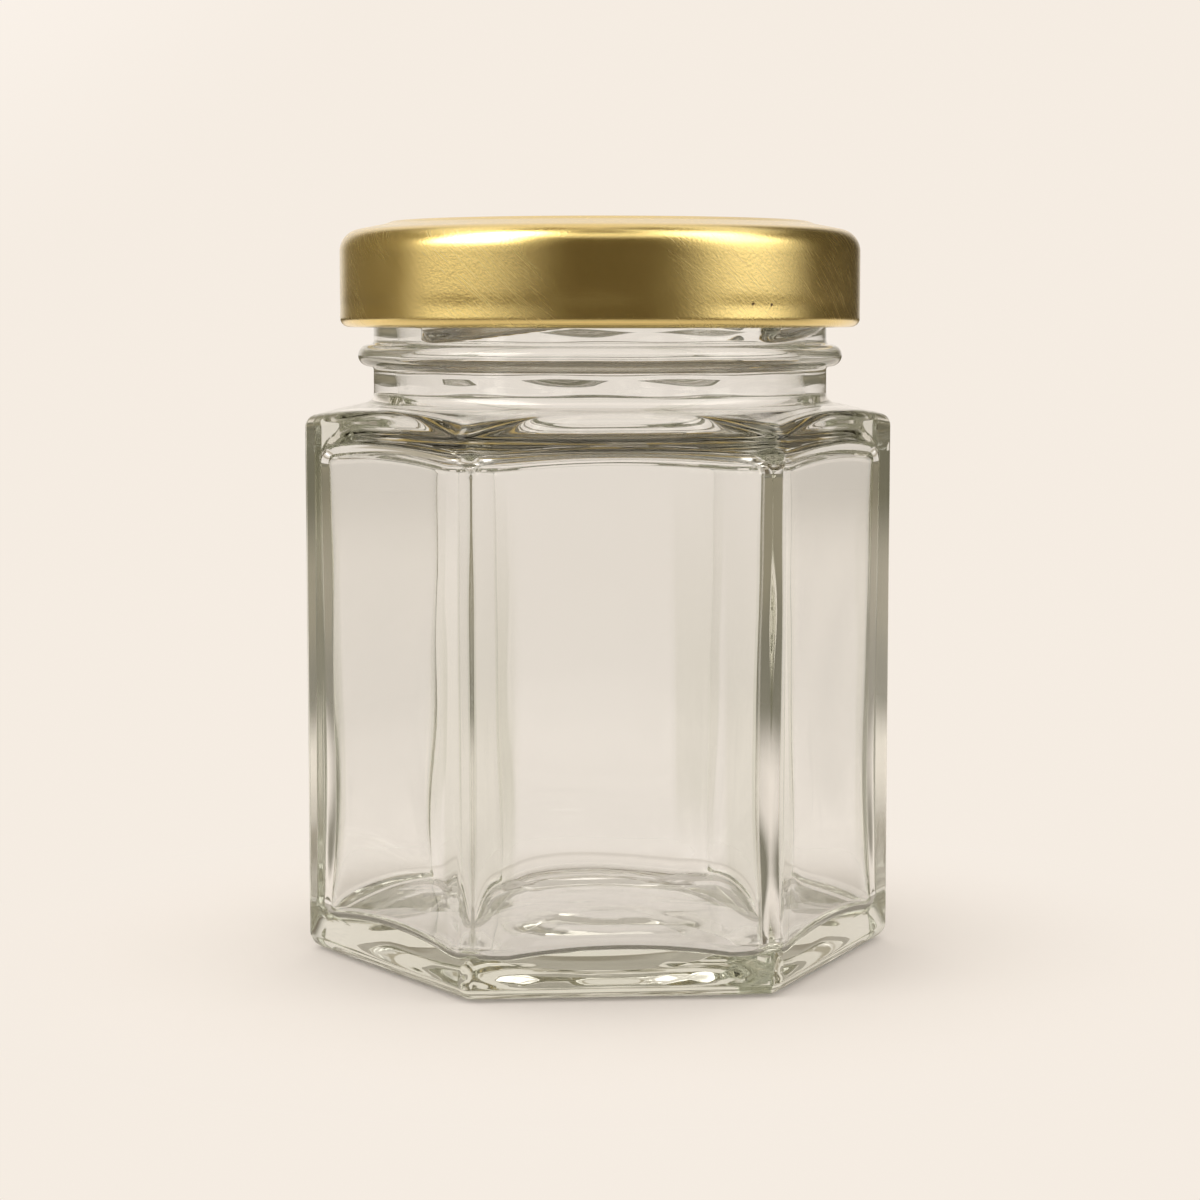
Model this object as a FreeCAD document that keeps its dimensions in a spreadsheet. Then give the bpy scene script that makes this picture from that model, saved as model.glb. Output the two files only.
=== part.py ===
import FreeCAD
import Part
import Sketcher
import os

# A small hexagonal food jar of clear glass with its twist-off lid of pressed sheet steel.
# The jar stands on Z = 0 with its axis on Z, one flat face towards -Y and two corners on the X axis.
# Three pieces: the glass jar, the lid, and the sealing ring between the lid and the glass rim.

SIZES = {
    # glass body
    "across_flats": 60.0,
    "wall": 2.7,
    "floor_thickness": 4.6,
    "corner_round": 2.0,
    "cavity_corner_round": 6.5,
    "base_round": 1.9,
    "floor_round": 3.2,
    "floor_rise": 1.2,
    "rest_width": 7.0,
    "underside_rise": 0.9,
    # shoulder
    "shoulder_height": 64.35,
    "shoulder_slope": 13.0,
    "shoulder_round": 1.5,
    "shoulder_thickness": 3.6,
    "ceiling_round": 2.6,
    # neck, from the shoulder's root to the rim
    "neck_diameter": 52.7,
    "neck_length": 19.25,
    "neck_wall": 2.45,
    "neck_root_round": 1.3,
    "mouth_root_round": 2.4,
    "rim_round": 0.7,
    "bead_above_shoulder": 5.3,
    "bead_stand": 1.8,
    "bead_round": 1.25,
    # screw thread on the neck
    "thread_count": 4.0,
    "thread_stand": 1.35,
    "thread_round": 0.95,
    "thread_slope": 7.0,
    "thread_arc": 74.0,
    "thread_position": 78.0,
    # lid, which ends above the bead
    "bead_gap": 2.0,
    "thread_clearance": 0.4,
    "sheet": 0.25,
    "ring_width": 5.2,
    "ring_slope": 11.0,
    "disc_step_width": 0.8,
    "disc_rise": 0.32,
    "lid_round": 2.6,
    "curl_round": 1.05,
    "curl_wrap": 240.0,
    # lugs, each under the higher half of a thread ridge
    "lug_arc": 16.0,
    "lug_top": 1.15,
    "lug_round": 0.3,
    "lug_turn": 16.6,
    "lug_clearance": 0.3,
    "lug_play": 0.55,
    # sealing ring, which overlaps the rim on both sides
    "seal_thickness": 0.85,
    "seal_inside": 0.7,
    "seal_outside": 1.45,
    # length by which a cut runs past the glass
    "overrun": 1.0,
}

ANTICLOCKWISE = 1
CLOCKWISE = -1
TOUCH = 0.0001

doc = FreeCAD.newDocument("HexagonalJar")
sheet = doc.addObject("Spreadsheet::Sheet", "Size")
for row, (name, size) in enumerate(SIZES.items(), start=1):
    sheet.set(f"A{row}", name)
    sheet.set(f"B{row}", str(size))
    sheet.setAlias(f"B{row}", name)
doc.recompute()


def value(formula):
    """The number that a formula of sheet names stands for."""
    return float(sheet.evalExpression(formula))


def origin_item(body, role):
    return next(item for item in body.Origin.OriginFeatures if item.Role == role)


def new_body(name):
    return doc.addObject("PartDesign::Body", name)


def sketch_on(body, plane, name):
    sketch = body.newObject("Sketcher::SketchObject", name)
    sketch.AttachmentSupport = (origin_item(body, plane), "")
    sketch.MapMode = "FlatFace"
    return sketch


def arc_between(start, end, radius, turn):
    """The short arc from start to end, anticlockwise for turn 1 and clockwise for turn -1."""
    chord = end - start
    height = max(radius ** 2 - chord.Length ** 2 / 4, 0) ** 0.5
    across = FreeCAD.Vector(-chord.y, chord.x, 0).normalize()
    middle = (start + end) * 0.5
    centre = middle + across * height * turn
    bulge = centre - across * radius * turn
    return Part.Arc(start, bulge, end)


def pin_point(sketch, edge, end, x, y):
    """Holds one end of an edge at two formulas, measured from the sketch's origin."""
    for formula, direction, axis in ((x, "DistanceX", -2), (y, "DistanceY", -1)):
        if formula == "0":
            sketch.addConstraint(Sketcher.Constraint("PointOnObject", edge, end, axis))
            continue
        number = sketch.addConstraint(Sketcher.Constraint(direction, -1, 1, edge, end, value(formula)))
        sketch.setExpression(f"Constraints[{number}]", formula)


def draw_outline(sketch, points):
    """A closed outline. A point (x, y) ends a straight edge, and (x, y, radius, turn) ends an arc."""
    places = [FreeCAD.Vector(value(point[0]), value(point[1]), 0) for point in points]
    ends = []
    for number, point in enumerate(points):
        start, end = places[number - 1], places[number]
        if len(point) == 2:
            sketch.addGeometry(Part.LineSegment(start, end))
            ends.append((1, 2))
            continue
        sketch.addGeometry(arc_between(start, end, value(point[2]), point[3]))
        ends.append((1, 2) if point[3] > 0 else (2, 1))
        radius = sketch.addConstraint(Sketcher.Constraint("Radius", number, value(point[2])))
        sketch.setExpression(f"Constraints[{radius}]", point[2])
    for number, point in enumerate(points):
        following = (number + 1) % len(points)
        join = (number, ends[number][1], following, ends[following][0])
        sketch.addConstraint(Sketcher.Constraint("Coincident", *join))
        pin_point(sketch, number, ends[number][1], point[0], point[1])


def draw_dome(sketch, edge, rise):
    """Half the section of a shallow dome about the sketch's upright axis."""
    bend = f"(({edge})^2 + ({rise})^2) / (2 * {rise})"
    draw_outline(sketch, [("0", "0"), (edge, "0"), ("0", rise, bend, ANTICLOCKWISE)])


def pad(body, sketch, name, length):
    feature = body.newObject("PartDesign::Pad", name)
    feature.Profile = sketch
    feature.setExpression("Length", length)
    return feature


def turned(body, kind, sketch, name, angle="360"):
    """A Revolution or Groove of a sketch about the Z axis."""
    feature = body.newObject(f"PartDesign::{kind}", name)
    feature.Profile = sketch
    feature.ReferenceAxis = (origin_item(body, "Z_Axis"), [""])
    feature.setExpression("Angle", angle)
    return feature


def place_on_axis(body, feature, placement):
    feature.AttachmentSupport = (origin_item(body, "XY_Plane"), "")
    feature.MapMode = "FlatFace"
    feature.setExpression("AttachmentOffset", placement)


def repeat_round_axis(body, features, name, count):
    pattern = body.newObject("PartDesign::PolarPattern", name)
    pattern.Originals = features
    pattern.Axis = (origin_item(body, "Z_Axis"), [""])
    pattern.Angle = 360
    pattern.setExpression("Occurrences", count)
    body.Tip = pattern


def round_edges(body, base, name, radius, wanted):
    """Rounds the edges of base that the test wanted picks."""
    doc.recompute()
    real = [(n, edge) for n, edge in enumerate(base.Shape.Edges, start=1) if not edge.Degenerated]
    edges = [f"Edge{n}" for n, edge in real if wanted(edge)]
    if not edges:
        raise RuntimeError(f"{name} found no edges")
    feature = body.newObject("PartDesign::Fillet", name)
    feature.Base = (base, edges)
    feature.setExpression("Radius", radius)
    doc.recompute()
    if not feature.isValid():
        raise RuntimeError(f"{name} could not be rounded")
    return feature


def lies_at(edge, height):
    box = edge.BoundBox
    return max(abs(box.ZMin - height), abs(box.ZMax - height)) < TOUCH


def is_upright(edge):
    box = edge.BoundBox
    return isinstance(edge.Curve, Part.Line) and box.XLength + box.YLength < TOUCH


def is_outline(edge, half):
    """True for an edge that isn't upright, on the outline of a hexagon half across its flats."""
    middle = edge.valueAt((edge.FirstParameter + edge.LastParameter) / 2)
    return not is_upright(edge) and abs(complex(middle.x, middle.y)) > half - TOUCH


def hexagon(across):
    """The six corners of a hexagon with flats towards -Y and +Y, as formulas."""
    corner = f"({across}) / sqrt(3)"
    return [(f"{corner} * cos({angle})", f"{corner} * sin({angle})") for angle in range(0, 360, 60)]


# Sizes that follow from the sheet, written as formulas of its names.
CORNER = "Size.across_flats / sqrt(3)"
CAVITY_ACROSS = "Size.across_flats - 2 * Size.wall"
CEILING = "Size.shoulder_height - Size.shoulder_thickness / cos(Size.shoulder_slope)"
NECK = "Size.neck_diameter / 2"
MOUTH = f"{NECK} - Size.neck_wall"
RIM_HEIGHT = "(Size.shoulder_height + Size.neck_length)"
PAST_RIM = f"{RIM_HEIGHT} + Size.overrun"
BEAD_LINE = f"{NECK} + Size.bead_stand - Size.bead_round"
BEAD_HEIGHT = "Size.shoulder_height + Size.bead_above_shoulder"
LID_BOTTOM = f"({BEAD_HEIGHT} + Size.bead_round + Size.bead_gap)"
THREAD_LINE = f"({NECK} + Size.thread_stand - Size.thread_round)"
THREAD_RISE = f"{THREAD_LINE} * sin(Size.lug_turn) * sin(Size.thread_slope)"
THREAD_HEIGHT = f"{LID_BOTTOM} + Size.lug_top + Size.lug_play + Size.thread_round - {THREAD_RISE}"
# Heights in the lid and the sealing ring are measured from the lid's bottom edge.
LID = f"({NECK} + Size.thread_stand + Size.thread_clearance + 2 * Size.curl_round)"
CURL = f"{LID} - Size.curl_round"
RING = f"({LID} - Size.ring_width)"
DISC = f"{RING} - Size.disc_step_width"
SEAL_BOTTOM = f"({RIM_HEIGHT} - {LID_BOTTOM})"
RING_UNDER = f"({SEAL_BOTTOM} + Size.seal_thickness)"
RING_TOP = f"({RING_UNDER} + Size.sheet / cos(Size.ring_slope))"
DISC_TOP = f"({RING_TOP} + Size.disc_rise)"
DISC_UNDER = f"{DISC_TOP} - Size.sheet"


def glass_outside():
    """The outer form: a hexagonal body under a sloping round shoulder, with a beaded, threaded neck."""
    body = new_body("GlassOutside")
    plan = sketch_on(body, "XY_Plane", "BodyPlan")
    draw_outline(plan, hexagon("Size.across_flats"))
    pad(body, plan, "Block", RIM_HEIGHT)

    waste = sketch_on(body, "YZ_Plane", "ShoulderAndNeckWaste")
    far = f"{CORNER} + Size.overrun"
    far_height = f"Size.shoulder_height - ({far} - {NECK}) * tan(Size.shoulder_slope)"
    draw_outline(waste, [
        (f"{NECK} - Size.rim_round", PAST_RIM),
        (f"{NECK} - Size.rim_round", RIM_HEIGHT),
        (NECK, f"{RIM_HEIGHT} - Size.rim_round", "Size.rim_round", CLOCKWISE),
        (NECK, "Size.shoulder_height"),
        (far, far_height),
        (far, PAST_RIM),
    ])
    turned(body, "Groove", waste, "ShoulderAndNeck")

    hollow = sketch_on(body, "YZ_Plane", "UndersideHollow")
    draw_dome(hollow, "Size.across_flats / 2 - Size.rest_width", "Size.underside_rise")
    shape = turned(body, "Groove", hollow, "Underside")

    half = value("Size.across_flats / 2")
    root = value("Size.shoulder_height")
    shape = round_edges(body, shape, "CornerRounds", "Size.corner_round", is_upright)
    shape = round_edges(body, shape, "NeckRootRound", "Size.neck_root_round",
                        lambda edge: lies_at(edge, root))
    shape = round_edges(body, shape, "ShoulderRounds", "Size.shoulder_round",
                        lambda edge: is_outline(edge, half) and edge.BoundBox.ZMin > half)
    round_edges(body, shape, "BaseRounds", "Size.base_round",
                lambda edge: is_outline(edge, half) and lies_at(edge, 0))

    bead = body.newObject("PartDesign::AdditiveTorus", "Bead")
    bead.setExpression("Radius1", BEAD_LINE)
    bead.setExpression("Radius2", "Size.bead_round")
    place_on_axis(body, bead, f"placement(vector(0; 0; {BEAD_HEIGHT}); rotationz(0))")

    for number in range(int(value("Size.thread_count"))):
        add_thread(body, number)
    return body


def add_thread(body, number):
    """One short ridge, tilted like a right-hand screw and rounded at both ends."""
    position = f"Size.thread_position + {number} * 360 / Size.thread_count"
    tilt = f"rotationz({position}) * rotationx(Size.thread_slope)"
    low_end = f"{tilt} * rotationz(-Size.thread_arc / 2)"
    high_end = f"{tilt} * rotationz(Size.thread_arc / 2)"
    middle = f"vector(0; 0; {THREAD_HEIGHT})"
    ridge = body.newObject("PartDesign::AdditiveTorus", f"ThreadRidge{number}")
    ridge.setExpression("Radius1", THREAD_LINE)
    ridge.setExpression("Radius2", "Size.thread_round")
    ridge.setExpression("Angle3", "Size.thread_arc")
    place_on_axis(body, ridge, f"placement({middle}; {low_end})")
    for turn in (low_end, high_end):
        tip = f"{middle} + ({turn}) * vector({THREAD_LINE}; 0; 0)"
        ball = body.newObject("PartDesign::AdditiveSphere", f"ThreadEnd{number}")
        ball.setExpression("Radius", "Size.thread_round")
        place_on_axis(body, ball, f"placement({tip}; rotationz(0))")


def glass_inside():
    """The hollow: a hexagon with large corner rounds under a sloping ceiling, and a round mouth."""
    body = new_body("GlassInside")
    plan = sketch_on(body, "XY_Plane", "CavityPlan")
    plan.setExpression("AttachmentOffset.Base.z", "Size.floor_thickness")
    draw_outline(plan, hexagon(CAVITY_ACROSS))
    pad(body, plan, "Cavity", f"{PAST_RIM} - Size.floor_thickness")

    waste = sketch_on(body, "YZ_Plane", "CeilingAndMouthWaste")
    above = f"{PAST_RIM} + Size.overrun"
    far_height = f"{CEILING} - ({CORNER} - ({MOUTH})) * tan(Size.shoulder_slope)"
    draw_outline(waste, [
        (f"{MOUTH} + Size.rim_round", above),
        (f"{MOUTH} + Size.rim_round", RIM_HEIGHT),
        (MOUTH, f"{RIM_HEIGHT} - Size.rim_round", "Size.rim_round", ANTICLOCKWISE),
        (MOUTH, CEILING),
        (CORNER, far_height),
        (CORNER, above),
    ])
    shape = turned(body, "Groove", waste, "CeilingAndMouth")

    half = value(f"({CAVITY_ACROSS}) / 2")
    floor = value("Size.floor_thickness")
    root = value(CEILING)
    shape = round_edges(body, shape, "CavityCornerRounds", "Size.cavity_corner_round", is_upright)
    shape = round_edges(body, shape, "FloorRounds", "Size.floor_round",
                        lambda edge: is_outline(edge, half) and lies_at(edge, floor))
    shape = round_edges(body, shape, "CeilingRounds", "Size.ceiling_round",
                        lambda edge: is_outline(edge, half) and edge.BoundBox.ZMin > half)
    round_edges(body, shape, "MouthRootRound", "Size.mouth_root_round",
                lambda edge: lies_at(edge, root))

    dome = sketch_on(body, "YZ_Plane", "FloorDome")
    dome.setExpression("AttachmentOffset.Base.y", "Size.floor_thickness")
    draw_dome(dome, f"({CAVITY_ACROSS}) / 2 - Size.floor_round", "Size.floor_rise")
    turned(body, "Groove", dome, "Floor")
    return body


def glass_jar():
    """The glass itself: the outer form less the hollow."""
    jar = doc.addObject("Part::Cut", "Jar")
    jar.Base = glass_outside()
    jar.Tool = glass_inside()
    jar.Label = "jar"
    return jar


def on_curl(radius, angle):
    """A point of the rolled edge, at that radius and angle about the roll's middle."""
    return f"{CURL} + ({radius}) * cos({angle})", f"Size.curl_round + ({radius}) * sin({angle})"


def twist_off_lid():
    """One piece of sheet steel: a raised disc, a sloping ring, the skirt, its rolled edge and the lugs."""
    body = new_body("Lid")
    body.Label = "lid"
    profile = sketch_on(body, "YZ_Plane", "SheetProfile")
    rounding = f"{LID} - Size.lid_round"
    inner_round = "Size.lid_round - Size.sheet"
    inner_curl = "Size.curl_round - Size.sheet"
    edge_turn = "-Size.curl_wrap"
    half_turn = "-Size.curl_wrap / 2"
    ring_end = f"{rounding} + Size.lid_round * sin(Size.ring_slope)"
    ring_end_top = f"{RING_TOP} - ({ring_end} - {RING}) * tan(Size.ring_slope)"
    skirt_top = f"{ring_end_top} - Size.lid_round * cos(Size.ring_slope)"
    draw_outline(profile, [
        ("0", DISC_TOP),
        (DISC, DISC_TOP),
        (RING, RING_TOP),
        (ring_end, ring_end_top),
        (LID, skirt_top, "Size.lid_round", CLOCKWISE),
        (LID, "Size.curl_round"),
        (*on_curl("Size.curl_round", half_turn), "Size.curl_round", CLOCKWISE),
        (*on_curl("Size.curl_round", edge_turn), "Size.curl_round", CLOCKWISE),
        on_curl(inner_curl, edge_turn),
        (*on_curl(inner_curl, half_turn), inner_curl, ANTICLOCKWISE),
        (f"{LID} - Size.sheet", "Size.curl_round", inner_curl, ANTICLOCKWISE),
        (f"{LID} - Size.sheet", skirt_top),
        (f"{ring_end} - Size.sheet * sin(Size.ring_slope)",
         f"{ring_end_top} - Size.sheet * cos(Size.ring_slope)", inner_round, ANTICLOCKWISE),
        (RING, RING_UNDER),
        (DISC, DISC_UNDER),
        ("0", DISC_UNDER),
    ])
    turned(body, "Revolution", profile, "Sheet")

    tongue = sketch_on(body, "YZ_Plane", "LugProfile")
    tip = f"{NECK} + Size.lug_clearance"
    draw_outline(tongue, [
        (CURL, "Size.sheet"),
        (CURL, "Size.lug_top"),
        (f"{tip} + Size.lug_round", "Size.lug_top"),
        (tip, "Size.lug_top - Size.lug_round", "Size.lug_round", ANTICLOCKWISE),
        (tip, "Size.sheet + Size.lug_round"),
        (f"{tip} + Size.lug_round", "Size.sheet", "Size.lug_round", ANTICLOCKWISE),
    ])
    lug = turned(body, "Revolution", tongue, "Lug", "Size.lug_arc")
    lug.Midplane = True
    repeat_round_axis(body, [lug], "Lugs", "Size.thread_count")
    seat_on_rim(body)
    return body


def sealing_ring():
    """The soft ring cast into the lid's channel, between the lid's underside and the glass rim."""
    body = new_body("SealingRing")
    body.Label = "lid_seal"
    profile = sketch_on(body, "YZ_Plane", "SealProfile")
    inner = f"{MOUTH} - Size.seal_inside"
    outer = f"({NECK} + Size.seal_outside)"
    draw_outline(profile, [
        (inner, SEAL_BOTTOM),
        (outer, SEAL_BOTTOM),
        (outer, f"{RING_UNDER} - ({outer} - {RING}) * tan(Size.ring_slope)"),
        (RING, RING_UNDER),
        (DISC, DISC_UNDER),
        (inner, DISC_UNDER),
    ])
    turned(body, "Revolution", profile, "Seal")
    seat_on_rim(body)
    return body


def seat_on_rim(body):
    """Lifts a piece drawn from the lid's bottom edge so that the sealing ring meets the glass rim,
    and turns the lugs, drawn towards +Y, under the threads' higher halves."""
    turn = "rotationz(Size.thread_position + Size.lug_turn - 90)"
    body.setExpression("Placement", f"placement(vector(0; 0; {LID_BOTTOM}); {turn})")


pieces = [glass_jar(), twist_off_lid(), sealing_ring()]
doc.recompute()

for item in doc.Objects:
    if {"Invalid", "Error"} & set(item.State):
        raise RuntimeError(f"{item.Label} failed: {item.State}")
    if item.TypeId == "PartDesign::Groove" and item.Shape.Volume >= item.BaseFeature.Shape.Volume:
        raise RuntimeError(f"{item.Label} cuts nothing away")
for piece in pieces:
    if piece.Shape.isNull() or not piece.Shape.isValid():
        raise RuntimeError(f"{piece.Label} has no valid shape")
    if len(piece.Shape.Solids) != 1:
        raise RuntimeError(f"{piece.Label} is not one solid")

os.makedirs("parts", exist_ok=True)
for piece in pieces:
    piece.Shape.exportStep(f"parts/{piece.Label}.step")
    box = piece.Shape.optimalBoundingBox(False)
    print(f"{piece.Label}: {piece.Shape.Volume:.1f} mm3, Z {box.ZMin:.2f} to {box.ZMax:.2f}, "
          f"{box.XLength:.2f} by {box.YLength:.2f} mm")
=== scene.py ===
import math

import bpy
import numpy as np
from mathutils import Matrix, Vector


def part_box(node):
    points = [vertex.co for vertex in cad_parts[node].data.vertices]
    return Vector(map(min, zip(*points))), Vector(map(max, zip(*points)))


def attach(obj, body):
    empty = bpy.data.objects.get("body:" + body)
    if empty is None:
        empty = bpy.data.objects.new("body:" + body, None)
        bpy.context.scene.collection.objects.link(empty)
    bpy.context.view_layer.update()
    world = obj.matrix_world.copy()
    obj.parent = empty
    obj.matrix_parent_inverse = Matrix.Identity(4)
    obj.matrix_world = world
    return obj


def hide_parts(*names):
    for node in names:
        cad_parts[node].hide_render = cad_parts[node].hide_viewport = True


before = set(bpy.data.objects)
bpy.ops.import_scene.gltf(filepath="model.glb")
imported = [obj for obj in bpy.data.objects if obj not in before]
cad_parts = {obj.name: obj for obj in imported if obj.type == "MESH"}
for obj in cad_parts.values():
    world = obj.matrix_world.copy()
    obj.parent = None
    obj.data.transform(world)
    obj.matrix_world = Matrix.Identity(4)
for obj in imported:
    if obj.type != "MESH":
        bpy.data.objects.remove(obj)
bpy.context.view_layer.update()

MM = 0.001


# ---- Glass jar -------------------------------------------------------------------------------
# The jar is one piece of clear soda-lime glass, pressed and then blown in a hexagonal mould, so
# the outside is crisp and flat while the inside is soft and uneven: rounder in its corners at
# half height, and arched where the walls meet the floor. Neck, bead and threads are moulded on.

jar_low, jar_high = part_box("jar")
HALF_ACROSS = (jar_high.y - jar_low.y) / 2 / MM
RIM_HEIGHT = jar_high.z / MM

CORNER_ROUND = 2.0
BASE_ROUND = 1.9
UNDERSIDE_RADIUS = 23.0
UNDERSIDE_RISE = 0.9
UNDERSIDE_SLOPE_WIDTH = 9.0
FOOT_KNURL = 0.07

SHOULDER_HEIGHT = 64.35
SHOULDER_SLOPE = math.radians(13)
SHOULDER_ROUND = 1.5
SHOULDER_THICKNESS = 3.6

NECK_RADIUS = 26.35
NECK_ROOT_ROUND = 1.3
MOUTH_RADIUS = 23.9
MOUTH_ROOT_ROUND = 2.4
RIM_ROUND = 0.7
BEAD_HEIGHT = 69.65
BEAD_ROUND = 1.25
BEAD_STAND = 1.8
BEAD_ROOT_ROUND = 0.45

THREADS = 4
THREAD_HEIGHT = 74.62
THREAD_SLOPE = math.radians(7)
THREAD_HALF_ARC = math.radians(37)
THREAD_POSITION = math.radians(78)
THREAD_STAND = 1.32
THREAD_HALF_WIDTH = 1.5

WALL = 2.7
FLOOR_HEIGHT = 4.0
FLOOR_ROUND = 1.5
FLOOR_RISE = 1.2
FLOOR_ARCH = 1.0
CEILING_ROUND = 2.6
CAVITY_SHARP_ENDS = 42.0
CAVITY_SHARP_MIDDLE = 17.0
CAVITY_BOW = 0.35
CAVITY_SPREAD = 5.0
WALL_WAVES = 0.06
WALL_ROWS = 36
CORNER_TOP = 56.0
NECK_WAVES = 0.07
FLOOR_RIPPLES = 0.07

FLAT_COLUMNS = 30
CORNER_COLUMNS = 24
FACE_COLUMNS = FLAT_COLUMNS + CORNER_COLUMNS


def columns_round_hexagon():
    """For each column of the glass: its place on a hexagon whose sides lie 1 from the axis, the
    outward direction of the rounded wall there, and its direction when all are evenly spaced."""
    face, place = np.divmod(np.arange(6 * FACE_COLUMNS), FACE_COLUMNS)
    facing = np.radians(30 + 60 * face)
    half = CORNER_COLUMNS / 2
    along = np.clip(2 * (place - half) / FLAT_COLUMNS - 1, -1, 1)
    along = 0.6 * along + 0.4 * np.sin(along * math.pi / 2)
    before = np.clip(place / half - 1, -1, 0)
    after = np.clip((place - half - FLAT_COLUMNS) / half, 0, 1)
    turned = facing + math.radians(30) * (before + after)
    even = facing + math.radians(60) * (place / FACE_COLUMNS - 0.5)
    normal = unit(facing)
    side = np.column_stack([-normal[:, 1], normal[:, 0]])
    corner = normal + side * (along / math.sqrt(3))[:, None]
    return corner, unit(turned), unit(even), even, along


def unit(angle):
    return np.column_stack([np.cos(angle), np.sin(angle)])


HEXAGON, OUTWARD, EVEN, EVEN_ANGLE, ALONG = columns_round_hexagon()
FACINGS = unit(np.radians(np.arange(30, 390, 60)))


def rounded_hexagon(half_across, corner_round):
    """One ring of points. Both sizes may be one number or a number for each column."""
    flat = np.broadcast_to(half_across - corner_round, len(HEXAGON))
    bend = np.broadcast_to(corner_round, len(HEXAGON))
    return HEXAGON * flat[:, None] + OUTWARD * bend[:, None]


HOLLOW_WAYS = rounded_hexagon(HALF_ACROSS - WALL, CAVITY_SPREAD)
HOLLOW_WAYS /= np.linalg.norm(HOLLOW_WAYS, axis=1)[:, None]


def soft_hexagon(half_across, sharpness):
    """One ring of the hollow and the outward direction at each of its points. It bends gently all
    along its sides, and the higher the sharpness, the tighter it turns at its corners."""
    ways = HOLLOW_WAYS @ FACINGS.T
    near = np.clip(ways, 0, None)
    level = np.sum(near ** sharpness, axis=1) ** (1 / sharpness)
    outward = near ** (sharpness - 1) @ FACINGS
    outward /= np.linalg.norm(outward, axis=1)[:, None]
    return HOLLOW_WAYS * (half_across / level)[:, None], outward


def lift(ring, height):
    return np.column_stack([ring, np.broadcast_to(height, len(ring))])


def blend(first, last, steps, crowded=False):
    """Rings between two rings, without the first. Crowded rings lie closer near both ends, which
    keeps the flat between two roundings looking flat."""
    shares = np.arange(1, steps + 1) / steps
    if crowded:
        shares = 0.5 - 0.5 * np.cos(math.pi * shares)
    return [first + (last - first) * share for share in shares]


def ball_round(centres, start, end, radius, steps):
    """The rings that a ball's surface leaves between two directions as it rolls along a ring."""
    cosine = np.clip(np.sum(start * end, axis=1), -1, 1)
    turn = np.arccos(cosine)[:, None]
    rings = []
    for step in range(steps + 1):
        share = step / steps
        direction = np.sin((1 - share) * turn) * start + np.sin(share * turn) * end
        rings.append(centres + radius * direction / np.sin(turn))
    return rings


def arc(centre_out, centre_up, radius, start, end, steps):
    """Points (distance from the axis, height) along an arc, with its angles in degrees."""
    angles = np.radians(np.linspace(start, end, steps + 1))
    return [(centre_out + radius * math.cos(a), centre_up + radius * math.sin(a)) for a in angles]


def cone_height(distance, root_distance, root_height):
    return root_height - (distance - root_distance) * math.tan(SHOULDER_SLOPE)


def cone_normal(ring):
    """The upward direction of the sloping shoulder above each point of a ring."""
    away = ring / np.linalg.norm(ring, axis=1)[:, None]
    upward = np.full(len(ring), math.cos(SHOULDER_SLOPE))
    return np.column_stack([away * math.sin(SHOULDER_SLOPE), upward])


def thread_stand(height):
    """How far the thread ridges stand out of the neck at that height, for each column."""
    stand = np.zeros(len(EVEN_ANGLE))
    for number in range(THREADS):
        middle = THREAD_POSITION + number * 2 * math.pi / THREADS
        turn = (EVEN_ANGLE - middle + math.pi) % (2 * math.pi) - math.pi
        held = np.clip(turn, -THREAD_HALF_ARC, THREAD_HALF_ARC)
        line = THREAD_HEIGHT + NECK_RADIUS * np.sin(held) * math.sin(THREAD_SLOPE)
        distance = np.hypot(NECK_RADIUS * (turn - held), (height - line) * math.cos(THREAD_SLOPE))
        share = np.clip(distance / THREAD_HALF_WIDTH, 0, 1)
        stand = np.maximum(stand, THREAD_STAND * np.cos(share * math.pi / 2) ** 1.5)
    return stand


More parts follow.
